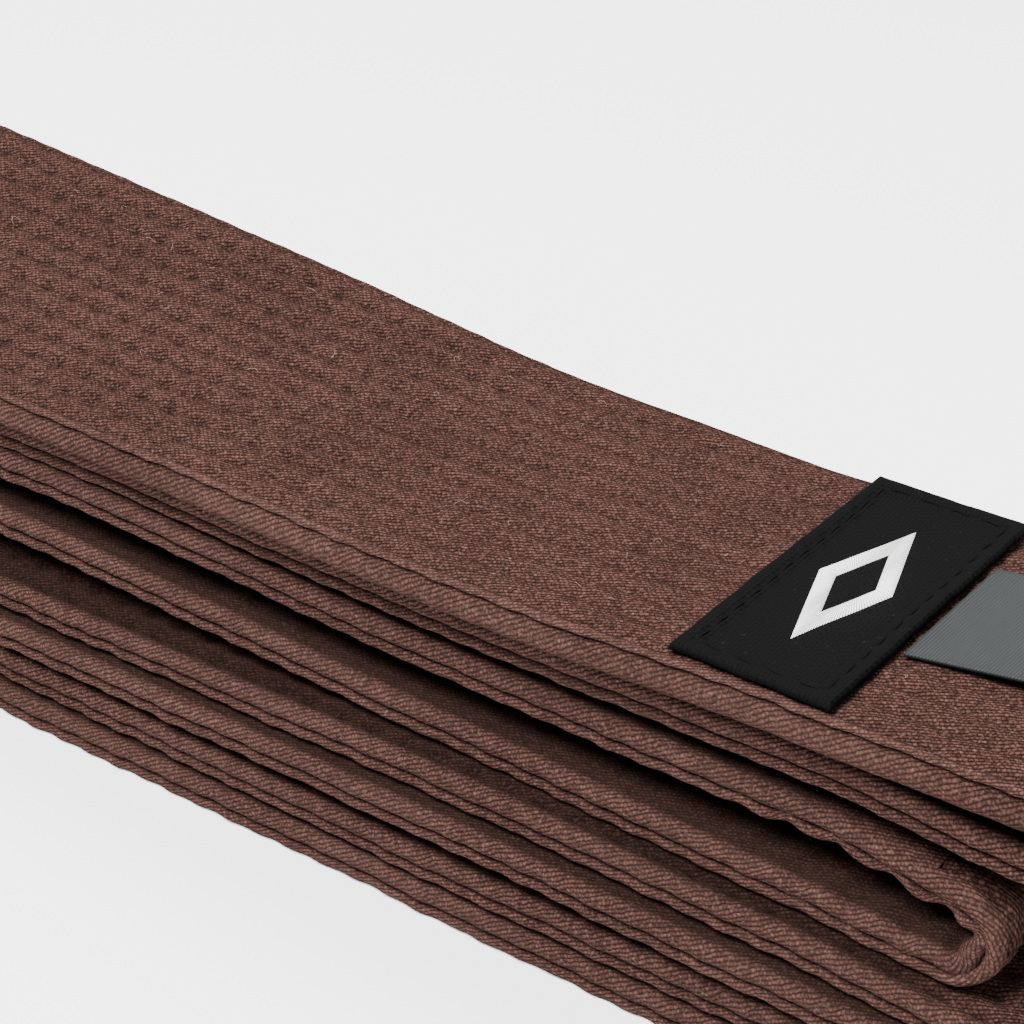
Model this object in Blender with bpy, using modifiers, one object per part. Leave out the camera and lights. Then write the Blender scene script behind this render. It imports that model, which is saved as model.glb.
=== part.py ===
"""Martial arts belt, folded in half three times into a flat stack of eight runs.

The belt is one long strip: a twill cover wrapped round a canvas core. Its two ends lie
together at the +X end of the stack, the label end on top. Runs are numbered from the top,
and a fold is named after the two runs that it joins. X is along the stack, Y across the
belt, Z up, and the origin is under the middle of the stack, on the surface it lies on.
The top four runs turn over together about the axis that the four -X folds share.
"""
import math

import bmesh
import bpy
from mathutils import Matrix, Vector

# Belt section, in metres
BELT_WIDTH = 0.040
BELT_THICK = 0.0038
COVER_WALL = 0.0008
EDGE_ROUND = 0.0012
CLEAR = 0.0003

# Folded stack
RUN_SPAN = 0.300
LABEL_OVERHANG = 0.016
PLAIN_END_SHORT = 0.005
MIDDLE_LOOP_GAP = 0.0034
LOWER_LOOP_GAP = 0.0026
MIDDLE_LOOP_INSET = 0.0092
FOLD_LEAD = 0.002
FOLD_SEGMENTS = 16
FLAP_LENGTH = 0.1075
HEM_LENGTH = 0.004

# How far each run lies to one side, because the stack isn't folded dead straight
RUN_SIDE = {1: 0.00065, 2: 0.00265, 3: 0.00245, 4: 0.00105,
            5: -0.00155, 6: -0.00265, 7: -0.00185, 8: -0.00245}

# Label, its stitching and emblem
LABEL_LONG = 0.0372
LABEL_SHORT = 0.0160
LABEL_THICK = 0.0005
LABEL_BORDER = 0.0019
LABEL_RIM = 0.0003
LABEL_FROM_END = 0.0538
EMBLEM_LONG = 0.023
EMBLEM_SHORT = 0.0076
EMBLEM_STROKE = 0.0017
THREAD = 0.0004

# End stitching, a closed box of thread
END_BOX_LONG = 0.033
END_BOX_SHORT = 0.007
END_BOX_INSET = 0.0045

# Size tag
TAG_WIDTH = 0.0175
TAG_LENGTH = 0.021
TAG_THICK = 0.0005
TAG_RISE = 0.0016
TAG_ASIDE = 0.0013
TAG_HINGE_OFFSET = 0.001

# Derived places
PITCH = BELT_THICK + CLEAR
NEST_RADIUS = 3.5 * PITCH + 0.5 * (MIDDLE_LOOP_GAP + LOWER_LOOP_GAP - 2 * CLEAR)
STACK_LENGTH = RUN_SPAN + LABEL_OVERHANG + NEST_RADIUS + BELT_THICK / 2
NEST_X = -STACK_LENGTH / 2 + NEST_RADIUS + BELT_THICK / 2
LOOP_X = NEST_X + RUN_SPAN
LABEL_END_X = LOOP_X + LABEL_OVERHANG
PLAIN_END_X = LABEL_END_X - PLAIN_END_SHORT
FLAP_X = LABEL_END_X - FLAP_LENGTH


def run_heights():
    """Middle heights of runs 1 to 8 at the nest end (-X) and at the loop end (+X)."""
    loop_end = {8: BELT_THICK / 2}
    steps = {7: PITCH, 6: BELT_THICK + LOWER_LOOP_GAP, 5: PITCH, 4: PITCH,
             3: BELT_THICK + MIDDLE_LOOP_GAP, 2: PITCH, 1: PITCH}
    for run in range(7, 0, -1):
        loop_end[run] = loop_end[run + 1] + steps[run]
    nest_end = {}
    for place in range(4):
        nest_end[8 - place] = loop_end[8] + place * PITCH
        nest_end[1 + place] = loop_end[1] - place * PITCH
    return nest_end, loop_end


NEST_Z, LOOP_Z = run_heights()
BELT_TOP = LOOP_Z[1] + BELT_THICK / 2


def new_collection(name):
    collection = bpy.data.collections.new(name)
    bpy.context.scene.collection.children.link(collection)
    return collection


def new_material(name, colour, roughness):
    material = bpy.data.materials.new(name)
    material.use_nodes = True
    shader = material.node_tree.nodes["Principled BSDF"]
    shader.inputs["Base Color"].default_value = (*colour, 1.0)
    shader.inputs["Roughness"].default_value = roughness
    shader.inputs["Metallic"].default_value = 0.0
    return material


def material_for(slot):
    """Plain Principled finishes, one for each kind of cloth or thread."""
    looks = {
        "cover_cloth": ((0.125, 0.062, 0.050), 0.92),
        "core_canvas": ((0.62, 0.57, 0.48), 0.95),
        "cover_thread": ((0.105, 0.052, 0.042), 0.80),
        "label_cloth": ((0.012, 0.012, 0.014), 0.85),
        "label_thread": ((0.030, 0.030, 0.034), 0.70),
        "emblem_thread": ((0.86, 0.86, 0.84), 0.45),
        "tag_ribbon": ((0.130, 0.145, 0.148), 0.40),
    }
    colour, roughness = looks[slot]
    return new_material(slot, colour, roughness)


def section_outline(thick, width, rounding):
    """Corner points of the belt's cross-section: X across its thickness, Y across its width."""
    outline = []
    for sign_x, sign_y, start in ((1, 1, 0), (-1, 1, 90), (-1, -1, 180), (1, -1, 270)):
        centre = (sign_x * (thick / 2 - rounding), sign_y * (width / 2 - rounding))
        for angle in (start, start + 45, start + 90):
            outline.append((centre[0] + rounding * math.cos(math.radians(angle)),
                            centre[1] + rounding * math.sin(math.radians(angle))))
    return outline


def poly_curve(name, points, cyclic):
    curve = bpy.data.curves.new(name, "CURVE")
    curve.dimensions = "2D"
    spline = curve.splines.new("POLY")
    spline.points.add(len(points) - 1)
    for point, (x, y) in zip(spline.points, points):
        point.co = (x, y, 0.0, 1.0)
    spline.use_cyclic_u = cyclic
    return curve


def swept_strip(name, path, thick, width, rounding, capped):
    """Sweep the belt's section along a path of (x, z) points and return the mesh."""
    outline = section_outline(thick, width, rounding)
    profile = bpy.data.objects.new(name + "_section", poly_curve(name + "_section", outline, True))
    cutters.objects.link(profile)
    curve = poly_curve(name + "_path", path, False)
    curve.bevel_mode = "OBJECT"
    curve.bevel_object = profile
    curve.use_fill_caps = capped
    sweep = bpy.data.objects.new(name + "_path", curve)
    cutters.objects.link(sweep)
    sweep.rotation_euler = (math.pi / 2, 0.0, 0.0)
    bpy.context.view_layer.update()
    depsgraph = bpy.context.evaluated_depsgraph_get()
    mesh = bpy.data.meshes.new_from_object(sweep.evaluated_get(depsgraph))
    mesh.transform(sweep.matrix_world)
    bpy.data.objects.remove(sweep)
    bpy.data.objects.remove(profile)
    shape = bmesh.new()
    shape.from_mesh(mesh)
    bmesh.ops.remove_doubles(shape, verts=shape.verts, dist=0.00001)
    bmesh.ops.recalc_face_normals(shape, faces=shape.faces)
    shape.to_mesh(mesh)
    shape.free()
    return mesh


def shift_sideways(mesh, low, high):
    """Lean a stretch across the belt: low is (z, y) at its lower end, high at its upper end."""
    lean = 0.0
    if high[0] > low[0]:
        lean = (high[1] - low[1]) / (high[0] - low[0])
    for vertex in mesh.vertices:
        height = min(max(vertex.co.z, low[0]), high[0])
        vertex.co.y += low[1] + lean * (height - low[0])


def add_part(name, mesh, slot, origin=(0.0, 0.0, 0.0)):
    """Link a mesh made in world space as a named part whose origin sits at the given point."""
    mesh.name = name
    mesh.transform(Matrix.Translation(-Vector(origin)))
    mesh.materials.clear()
    mesh.materials.append(MATERIALS[slot])
    part = bpy.data.objects.new(name, mesh)
    part.location = origin
    belt.objects.link(part)
    return part


def cover_section(name, path, low, high, origin):
    """The twill cover along one stretch: an open-ended tube with a wall."""
    mesh = swept_strip(name, path, BELT_THICK, BELT_WIDTH, EDGE_ROUND, False)
    shift_sideways(mesh, low, high)
    part = add_part(name, mesh, "cover_cloth", origin)
    wall = part.modifiers.new("wall", "SOLIDIFY")
    wall.thickness = COVER_WALL
    wall.offset = -1.0
    wall.use_even_offset = True
    return part


def core_section(name, path, low, high, origin):
    """The canvas core inside that stretch of cover."""
    inset = COVER_WALL + CLEAR
    mesh = swept_strip(name, path, BELT_THICK - 2 * inset, BELT_WIDTH - 2 * inset, 0.0003, True)
    shift_sideways(mesh, low, high)
    return add_part(name, mesh, "core_canvas", origin)


def add_run(label, run, path, origin):
    """One straight stretch, cover and core, all at its run's place across the belt."""
    place = (0.0, RUN_SIDE[run])
    cover_section("cover_" + label, path, place, place, origin)
    core_section("core_" + label, path, place, place, origin)


def add_fold(upper, lower, path, origin):
    """One half-round fold, leaning from its lower run's place to its upper run's place."""
    label = "fold_%d_%d" % (upper, lower)
    low = (path[0][1], RUN_SIDE[lower])
    high = (path[-1][1], RUN_SIDE[upper])
    cover_section("cover_" + label, path, low, high, origin)
    core_section("core_" + label, path, low, high, origin)


def height_at(run, x):
    """Middle height of a run at x, on the straight line between its two ends."""
    share = (x - NEST_X) / RUN_SPAN
    share = min(max(share, 0.0), 1.0)
    return NEST_Z[run] + share * (LOOP_Z[run] - NEST_Z[run])


def run_path(run, start, end):
    return [(start, height_at(run, start)), (end, height_at(run, end))]


def fold_path(centre_x, low, high, side):
    """A half circle between two heights, with a short straight lead at each end."""
    radius = (high - low) / 2
    middle = (high + low) / 2
    path = [(centre_x - side * FOLD_LEAD, low)]
    for step in range(FOLD_SEGMENTS + 1):
        angle = math.pi * step / FOLD_SEGMENTS
        path.append((centre_x + side * radius * math.sin(angle), middle - radius * math.cos(angle)))
    path.append((centre_x - side * FOLD_LEAD, high))
    return path


def build_runs():
    """The eight straight runs. Run 1 is split where the label end lifts."""
    start = NEST_X + FOLD_LEAD + CLEAR
    loop_stop = LOOP_X - FOLD_LEAD - CLEAR
    middle_stop = loop_stop - MIDDLE_LOOP_INSET
    stops = {2: PLAIN_END_X - HEM_LENGTH - CLEAR, 3: middle_stop, 4: middle_stop,
             5: loop_stop, 6: loop_stop, 7: loop_stop, 8: loop_stop}
    add_run("run_1", 1, run_path(1, start, FLAP_X - CLEAR / 2), UPPER_AXIS)
    for run, stop in stops.items():
        origin = UPPER_AXIS if run < 5 else (0.0, 0.0, 0.0)
        add_run("run_%d" % run, run, run_path(run, start, stop), origin)
    flap_stop = LABEL_END_X - HEM_LENGTH - CLEAR
    add_run("label_end", 1, run_path(1, FLAP_X + CLEAR / 2, flap_stop), FLAP_AXIS)


def build_folds():
    """Four nested folds at -X, which open with the top half, and three at +X."""
    for upper, lower in ((1, 8), (2, 7), (3, 6), (4, 5)):
        path = fold_path(NEST_X, NEST_Z[lower], NEST_Z[upper], -1)
        add_fold(upper, lower, path, UPPER_AXIS)
    for upper, lower in ((5, 8), (6, 7)):
        path = fold_path(LOOP_X, LOOP_Z[lower], LOOP_Z[upper], 1)
        add_fold(upper, lower, path, (0.0, 0.0, 0.0))
    path = fold_path(LOOP_X - MIDDLE_LOOP_INSET, height_at(4, LOOP_X), LOOP_Z[3], 1)
    add_fold(3, 4, path, UPPER_AXIS)


def box_mesh(name, size, centre):
    """A box with its place in the mesh."""
    mesh = bpy.data.meshes.new(name)
    shape = bmesh.new()
    bmesh.ops.create_cube(shape, size=1.0)
    bmesh.ops.scale(shape, vec=size, verts=shape.verts)
    bmesh.ops.translate(shape, vec=centre, verts=shape.verts)
    shape.to_mesh(mesh)
    shape.free()
    return mesh


def build_ends():
    """The turned-in ends of the cover, solid with their folded cloth."""
    ends = (("turned_in_label_end", LABEL_END_X, 1, FLAP_AXIS),
            ("turned_in_plain_end", PLAIN_END_X, 2, UPPER_AXIS))
    for name, end_x, run, origin in ends:
        centre = (end_x - HEM_LENGTH / 2, RUN_SIDE[run], LOOP_Z[run])
        mesh = box_mesh(name, (HEM_LENGTH, BELT_WIDTH, BELT_THICK), centre)
        part = add_part(name, mesh, "cover_cloth", origin)
        rounding = part.modifiers.new("rounding", "BEVEL")
        rounding.width = EDGE_ROUND
        rounding.segments = 2


def outline_ring(name, outer, inner, thick, centre):
    """A flat ring between two outlines of (x, y) points, extruded to a thickness."""
    curve = poly_curve(name, outer, True)
    hole = curve.splines.new("POLY")
    hole.points.add(len(inner) - 1)
    for point, (x, y) in zip(hole.points, inner):
        point.co = (x, y, 0.0, 1.0)
    hole.use_cyclic_u = True
    curve.fill_mode = "BOTH"
    curve.extrude = thick / 2
    flat = bpy.data.objects.new(name, curve)
    cutters.objects.link(flat)
    bpy.context.view_layer.update()
    depsgraph = bpy.context.evaluated_depsgraph_get()
    mesh = bpy.data.meshes.new_from_object(flat.evaluated_get(depsgraph))
    bpy.data.objects.remove(flat)
    shape = bmesh.new()
    shape.from_mesh(mesh)
    bmesh.ops.remove_doubles(shape, verts=shape.verts, dist=0.00001)
    bmesh.ops.recalc_face_normals(shape, faces=shape.faces)
    bmesh.ops.translate(shape, vec=centre, verts=shape.verts)
    shape.to_mesh(mesh)
    shape.free()
    return mesh


def rectangle(length_x, length_y):
    x = length_x / 2
    y = length_y / 2
    return [(-x, -y), (x, -y), (x, y), (-x, y)]


def lozenge(length_x, length_y):
    return [(-length_x / 2, 0.0), (0.0, -length_y / 2), (length_x / 2, 0.0), (0.0, length_y / 2)]


def build_end_stitching():
    """A box of thread across each end: above the label end, below the plain end."""
    outer = rectangle(END_BOX_SHORT, END_BOX_LONG)
    inner = rectangle(END_BOX_SHORT - 2 * THREAD, END_BOX_LONG - 2 * THREAD)
    above = BELT_TOP + CLEAR + THREAD / 2
    below = LOOP_Z[2] - BELT_THICK / 2 - CLEAR - THREAD / 2
    ends = (("end_stitching_label_end", LABEL_END_X, 1, above, FLAP_AXIS),
            ("end_stitching_plain_end", PLAIN_END_X, 2, below, UPPER_AXIS))
    for name, end_x, run, height, origin in ends:
        centre = (end_x - END_BOX_INSET, RUN_SIDE[run], height)
        add_part(name, outline_ring(name, outer, inner, THREAD, centre), "cover_thread", origin)


def build_label():
    """A woven patch with a folded border, its border stitching and its raised emblem."""
    centre_x = LABEL_END_X - LABEL_FROM_END + LABEL_SHORT / 2
    centre_y = RUN_SIDE[1]
    base = BELT_TOP + CLEAR
    patch_centre = (centre_x, centre_y, base + LABEL_THICK / 2)
    mesh = box_mesh("label_patch", (LABEL_SHORT, LABEL_LONG, LABEL_THICK), patch_centre)
    shape = bmesh.new()
    shape.from_mesh(mesh)
    top = [face for face in shape.faces if face.normal.z > 0.9]
    rim = bmesh.ops.inset_region(shape, faces=top, thickness=LABEL_BORDER)["faces"]
    raised = bmesh.ops.extrude_face_region(shape, geom=rim)["geom"]
    lifted = [item for item in raised if isinstance(item, bmesh.types.BMVert)]
    bmesh.ops.translate(shape, vec=(0.0, 0.0, LABEL_RIM), verts=lifted)
    bmesh.ops.delete(shape, geom=rim, context="FACES_ONLY")
    bmesh.ops.recalc_face_normals(shape, faces=shape.faces)
    shape.to_mesh(mesh)
    shape.free()
    add_part("label_patch", mesh, "label_cloth", FLAP_AXIS)

    outer = rectangle(LABEL_SHORT - LABEL_BORDER, LABEL_LONG - LABEL_BORDER)
    inner = rectangle(LABEL_SHORT - LABEL_BORDER - 2 * THREAD, LABEL_LONG - LABEL_BORDER - 2 * THREAD)
    thread_z = base + LABEL_THICK + LABEL_RIM + CLEAR + THREAD / 2
    ring = outline_ring("label_border_stitching", outer, inner, THREAD, (centre_x, centre_y, thread_z))
    add_part("label_border_stitching", ring, "label_thread", FLAP_AXIS)

    outer = lozenge(EMBLEM_SHORT, EMBLEM_LONG)
    inner_share = 1.0 - 2.0 * EMBLEM_STROKE / EMBLEM_SHORT
    inner = lozenge(EMBLEM_SHORT * inner_share, EMBLEM_LONG * inner_share)
    emblem_z = base + LABEL_THICK + CLEAR + THREAD / 2
    ring = outline_ring("label_emblem", outer, inner, THREAD, (centre_x, centre_y, emblem_z))
    add_part("label_emblem", ring, "emblem_thread", FLAP_AXIS)


def build_tag():
    """A satin size tag, sewn in beside the label and curling up a little from the belt."""
    hinge_x, hinge_z = TAG_AXIS[0], TAG_AXIS[2]
    path = []
    for step in range(7):
        share = step / 6
        path.append((hinge_x + share * TAG_LENGTH, hinge_z + TAG_RISE * share * share))
    mesh = swept_strip("size_tag", path, TAG_THICK, TAG_WIDTH, 0.00008, True)
    mesh.transform(Matrix.Translation((0.0, RUN_SIDE[1] + TAG_ASIDE, 0.0)))
    add_part("size_tag", mesh, "tag_ribbon", TAG_AXIS)


for old in list(bpy.data.objects):
    bpy.data.objects.remove(old)

belt = new_collection("martial_arts_belt")
cutters = new_collection("cutters")
SLOTS = ("cover_cloth", "core_canvas", "cover_thread", "label_cloth", "label_thread",
         "emblem_thread", "tag_ribbon")
MATERIALS = {slot: material_for(slot) for slot in SLOTS}

# Joint axes, all along Y: the fold that opens, the label end's bend, the tag's sewn edge
UPPER_AXIS = (NEST_X, 0.0, (NEST_Z[1] + NEST_Z[8]) / 2)
FLAP_AXIS = (FLAP_X, 0.0, BELT_TOP)
TAG_AXIS = (LABEL_END_X - LABEL_FROM_END + LABEL_SHORT + TAG_HINGE_OFFSET, 0.0,
            BELT_TOP + CLEAR + TAG_THICK / 2)

build_runs()
build_folds()
build_ends()
build_end_stitching()
build_label()
build_tag()
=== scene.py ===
"""Folded martial arts belt, laid along the places of its frame, with a small studio."""
import math
import random

import bpy
import numpy as np
from bpy.props import FloatProperty, FloatVectorProperty, PointerProperty
from bpy.types import Operator, Panel, PropertyGroup
from mathutils import Matrix, Vector


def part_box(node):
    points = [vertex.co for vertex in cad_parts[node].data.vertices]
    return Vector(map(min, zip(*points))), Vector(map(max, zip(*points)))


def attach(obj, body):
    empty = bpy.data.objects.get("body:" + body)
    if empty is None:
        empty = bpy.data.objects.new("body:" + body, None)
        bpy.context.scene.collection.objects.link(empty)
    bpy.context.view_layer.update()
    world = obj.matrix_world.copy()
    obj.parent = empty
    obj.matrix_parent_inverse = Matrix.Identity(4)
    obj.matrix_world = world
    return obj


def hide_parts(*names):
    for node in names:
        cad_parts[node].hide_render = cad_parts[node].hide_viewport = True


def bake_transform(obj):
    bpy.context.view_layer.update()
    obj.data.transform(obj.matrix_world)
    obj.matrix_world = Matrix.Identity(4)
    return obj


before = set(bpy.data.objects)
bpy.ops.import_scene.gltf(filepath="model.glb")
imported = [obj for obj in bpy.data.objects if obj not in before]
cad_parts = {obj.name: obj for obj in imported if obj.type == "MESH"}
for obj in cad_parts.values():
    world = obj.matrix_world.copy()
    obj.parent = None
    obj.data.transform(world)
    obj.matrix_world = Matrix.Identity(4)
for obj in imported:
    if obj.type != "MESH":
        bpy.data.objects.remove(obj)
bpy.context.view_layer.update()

bl_info = {
    "name": "Folded Martial Arts Belt",
    "version": (1, 0, 0),
    "blender": (4, 5, 0),
    "location": "View3D > Sidebar > Belt",
    "description": "Builds a folded twill belt with its stitching, label and tag",
    "category": "Object",
}


# ---------------------------------------------------------------- sizes and colours

def length(name, description, default):
    """A length that a user may change, in metres."""
    return FloatProperty(name=name, description=description, default=default, min=0.0,
                         unit="LENGTH", precision=5)


def colour(name, description, default):
    """A colour that a user may change."""
    return FloatVectorProperty(name=name, description=description, default=default,
                               subtype="COLOR", size=3, min=0.0, max=1.0)


class BeltSizes(PropertyGroup):
    """Sizes of the belt's cloth and stitching."""
    row_spacing: length("Row spacing", "Between two rows of stitching", 0.0034)
    stitch_pitch: length("Stitch pitch", "Between two needle holes in a row", 0.0041)
    groove_depth: length("Groove depth", "How far a stitch row pulls the cover in", 0.00042)
    rib_pitch: length("Rib pitch", "Between two ribs of the twill", 0.00044)
    yarn_float: length("Yarn float", "Length of one yarn over a rib", 0.00042)
    thread_width: length("Thread width", "Sewing thread across", 0.00026)


class BeltColours(PropertyGroup):
    """Colours of the belt's cloths and threads."""
    twill_light: colour("Twill, raised", "Top of a twill rib", (0.062, 0.0280, 0.0222))
    twill_dark: colour("Twill, sunk", "Between two twill ribs", (0.0060, 0.0030, 0.0026))
    cover_thread: colour("Cover thread", "Thread of the stitch rows", (0.020, 0.0090, 0.0072))
    canvas: colour("Canvas core", "Core inside the cover", (0.62, 0.57, 0.48))
    label_cloth: colour("Label cloth", "Ground of the label", (0.0014, 0.0014, 0.0016))
    label_thread: colour("Label thread", "Stitching round the label", (0.0030, 0.0030, 0.0034))
    emblem_thread: colour("Emblem thread", "Satin stitched lozenge", (0.86, 0.86, 0.84))
    tag_ribbon: colour("Tag ribbon", "Satin of the size tag", (0.0110, 0.0130, 0.0130))


# ---------------------------------------------------------------- places taken from the frame

def box_mm(node):
    """Lowest and highest corner of a node, in millimetres."""
    low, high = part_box(node)
    return np.array(low) * 1000.0, np.array(high) * 1000.0


# Sizes and places below are in millimetres, as are those of every function but the materials
HALF_THICK = 1.9
HALF_WIDTH = 20.0
NEST_FOLDS = ((1, 8), (2, 7), (3, 6), (4, 5))
LOOP_FOLDS = ((5, 8), (6, 7), (3, 4))


def fold_places():
    """Centre X and the two run heights of each fold, and each run's height at both its ends."""
    folds, nest_height, loop_height, loop_x = {}, {}, {}, {}
    for upper, lower in NEST_FOLDS:
        low, high = box_mm("cover_fold_%d_%d" % (upper, lower))
        bottom, top = low[2] + HALF_THICK, high[2] - HALF_THICK
        centre = low[0] + HALF_THICK + (top - bottom) / 2
        folds[(upper, lower)] = (centre, bottom, top)
        nest_height[upper], nest_height[lower] = top, bottom
    for upper, lower in LOOP_FOLDS:
        low, high = box_mm("cover_fold_%d_%d" % (upper, lower))
        bottom, top = low[2] + HALF_THICK, high[2] - HALF_THICK
        centre = high[0] - HALF_THICK - (top - bottom) / 2
        folds[(upper, lower)] = (centre, bottom, top)
        loop_height[upper], loop_height[lower] = top, bottom
        loop_x[upper] = loop_x[lower] = centre
    return folds, nest_height, loop_height, loop_x


FOLDS, NEST_HEIGHT, LOOP_HEIGHT, LOOP_X = fold_places()
NEST_X = FOLDS[(1, 8)][0]
# Straight length that a fold has before and after its arc
LEAD = 2.0
LABEL_END = box_mm("turned_in_label_end")[1][0]
PLAIN_END = box_mm("turned_in_plain_end")[1][0]
FLAP_X = box_mm("cover_label_end")[0][0]
for _run in (1, 2):
    LOOP_HEIGHT[_run] = NEST_HEIGHT[_run]
    LOOP_X[_run] = LABEL_END if _run == 1 else PLAIN_END
RUN_SIDE = {}
for _run in range(1, 9):
    _low, _high = box_mm("cover_run_%d" % _run)
    RUN_SIDE[_run] = (_low[1] + _high[1]) / 2
AXIS_HEIGHT = (NEST_HEIGHT[1] + NEST_HEIGHT[8]) / 2
LABEL_LOW, LABEL_HIGH = box_mm("label_patch")
# The label's cloth reaches past its solid, towards the root of the tag
LABEL_OVERREACH = 0.35
LABEL_HIGH[0] += LABEL_OVERREACH
EMBLEM_LOW, EMBLEM_HIGH = box_mm("label_emblem")
TAG_LOW, TAG_HIGH = box_mm("size_tag")

# Where along the stack each run rises or sinks a little, and by how much there
SAG_PLACES = (-148.0, -60.0, 34.0, 92.0, 128.0, 148.0, 168.0)
RUN_SAG = {
    1: (0.0, 0.1, 0.00, -0.1, 0.0, 0.0, 0.1),
    2: (0.0, 0.0, 0.10, -0.5, -0.8, -2.1, -3.4),
    3: (0.0, 0.2, 0.4, -1.5, -2.1, -4.8, -4.8),
    4: (0.0, -0.2, -1.5, -1.7, -1.7, -2.7, -2.7),
    5: (0.0, 0.0, -0.3, -0.7, -1.5, -2.7, -2.7),
    6: (0.0, -0.1, -0.4, -0.8, -1.6, -2.4, -2.4),
    7: (0.0, 0.0, 0.05, 0.0, 0.0, 0.0, 0.0),
    8: (0.0, 0.0, 0.0, 0.0, 0.0, 0.0, 0.0),
}
RUN_DRIFT = {
    1: (0.0, 1.2, -0.3, -1.1, 0.3, 0.7, 0.8),
    2: (0.0, 0.5, -0.1, -0.6, 0.2, 0.4, 0.5),
    3: (0.0, -0.4, -0.3, 0.0, 0.3, 0.2, 0.0),
    4: (0.0, 0.4, 0.2, 0.1, -0.3, -0.2, 0.0),
    5: (0.0, -0.3, -0.6, 0.1, 0.2, 0.0, 0.0),
    6: (0.0, 0.0, -0.7, -0.4, -0.2, 0.1, 0.0),
    7: (0.0, -0.4, -0.9, -0.9, -0.4, 0.0, 0.0),
    8: (0.0, 0.0, -1.1, -0.5, 0.0, 0.1, 0.0),
}
# Where a run between two unlike heights starts its climb, as a share of its length
CLIMB_START = {4: 0.45, 5: 0.20, 6: 0.20}


def smooth(value):
    """Ease from 0 to 1, level at both ends."""
    value = np.clip(value, 0.0, 1.0)
    return value * value * (3.0 - 2.0 * value)


def eased(places, values, x):
    """A smooth line through a few values."""
    result = np.full(np.shape(x), values[0], float)
    for index in range(len(places) - 1):
        share = smooth((x - places[index]) / (places[index + 1] - places[index]))
        result = result + (values[index + 1] - values[index]) * share
    return result


def ripple(first, second, seed):
    """Soft unevenness between about -1 and 1, the same at each build."""
    draw = random.Random(seed)
    total = 0.0
    for octave in (1.0, 1.7, 2.9):
        turn = draw.uniform(0.0, 2.0 * math.pi)
        slant = draw.uniform(-0.9, 0.9)
        total = total + np.sin(octave * (first + slant * second) + turn) / octave
        total = total + np.sin(octave * (second - slant * first) + 2.1 * turn) / octave
    return total / 3.0


def run_height(run, x):
    """Height of a run's middle."""
    start = CLIMB_START.get(run, 0.0)
    share = (x - NEST_X) / (LOOP_X[run] - NEST_X)
    climb = smooth((share - start) / (1.0 - start))
    height = NEST_HEIGHT[run] + (LOOP_HEIGHT[run] - NEST_HEIGHT[run]) * climb
    return height + eased(SAG_PLACES, RUN_SAG[run], x)


def run_side(run, x):
    """How far a run lies to one side."""
    return RUN_SIDE[run] + eased(SAG_PLACES, RUN_DRIFT[run], x)


# Warp of the top run: heights at its far edge, and the places where they begin, in X
WARP_HEIGHT = 6.6
WARP_START, WARP_LENGTH = 80.0, 78.0
WARP_END, WARP_END_LENGTH = -138.0, 62.0
LABEL_SIDE_LIFT = 0.9
HINGE_BULGE_X, HINGE_BULGE_LENGTH = 58.0, 24.0
NEST_SIDE_LIFT = 3.0
NEAR_EDGE_SHARE = 0.03


def top_hump(x, y):
    """The top run's warp, which lifts its far edge away from the label."""
    settles = smooth((x - WARP_END) / WARP_END_LENGTH)
    rise = smooth((WARP_START - x) / WARP_LENGTH) * settles
    across = np.clip((y + HALF_WIDTH) / (2 * HALF_WIDTH), 0.0, 1.0)
    far_lift = LABEL_SIDE_LIFT * smooth((112.0 - x) / 20.0)
    far_lift = far_lift + np.exp(-((x - HINGE_BULGE_X) / HINGE_BULGE_LENGTH) ** 2)
    far_lift = (far_lift + NEST_SIDE_LIFT * smooth((20.0 - x) / 60.0)) * settles
    slope = NEAR_EDGE_SHARE + (1 - NEAR_EDGE_SHARE) * across ** 1.15
    return (WARP_HEIGHT * rise + far_lift) * slope


# ---------------------------------------------------------------- the belt's course

class Stretch:
    """One named length of the belt: a run, or a fold that joins two runs."""

    def __init__(self, name, kind, runs, start_x, end_x):
        self.name, self.kind, self.runs = name, kind, runs
        self.start_x, self.end_x = start_x, end_x
        self.along = 0.0
        if kind == "run":
            self.length = abs(end_x - start_x)
        else:
            upper, lower = max(runs), min(runs)
            key = (lower, upper)
            self.centre, self.bottom, self.top = FOLDS[key]
            self.radius = (self.top - self.bottom) / 2
            self.length = 2 * LEAD + math.pi * self.radius

    def heading(self):
        """-1 where the belt runs towards -X as it enters, +1 towards +X."""
        if self.kind == "run":
            return 1.0 if self.end_x > self.start_x else -1.0
        return -1.0 if self.centre < 0 else 1.0

    def course(self, distance):
        """Middle line (x, z), outward normal (x, z), side and seam place, by distance."""
        if self.kind == "run":
            run = self.runs[0]
            x = self.start_x + self.heading() * distance
            z = run_height(run, x)
            flat = np.zeros_like(x)
            facing = np.full_like(x, -self.heading())
            seam = np.full_like(x, SEAM_PLACE[run])
            return x, z, flat, facing, run_side(run, x), seam
        enter, leave = self.runs
        arc = np.clip((distance - LEAD) / self.radius, 0.0, math.pi)
        lead_in = np.clip(LEAD - distance, 0.0, LEAD)
        lead_out = np.clip(distance - LEAD - math.pi * self.radius, 0.0, LEAD)
        heading = self.heading()
        x = self.centre + heading * (self.radius * np.sin(arc) - lead_in - lead_out)
        share = (1.0 - np.cos(arc)) / 2
        inside = self.centre + heading * np.minimum(-lead_in - lead_out, 0.0)
        z = run_height(enter, inside) * (1 - share) + run_height(leave, inside) * share
        side = run_side(enter, inside) * (1 - share) + run_side(leave, inside) * share
        seam = SEAM_PLACE[enter] * (1 - share) + SEAM_PLACE[leave] * share
        drop = 1.0 if enter < leave else -1.0
        tangent_x = heading * np.cos(arc)
        tangent_z = -drop * np.sin(arc)
        return x, z, tangent_z, -tangent_x, side, seam


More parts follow.
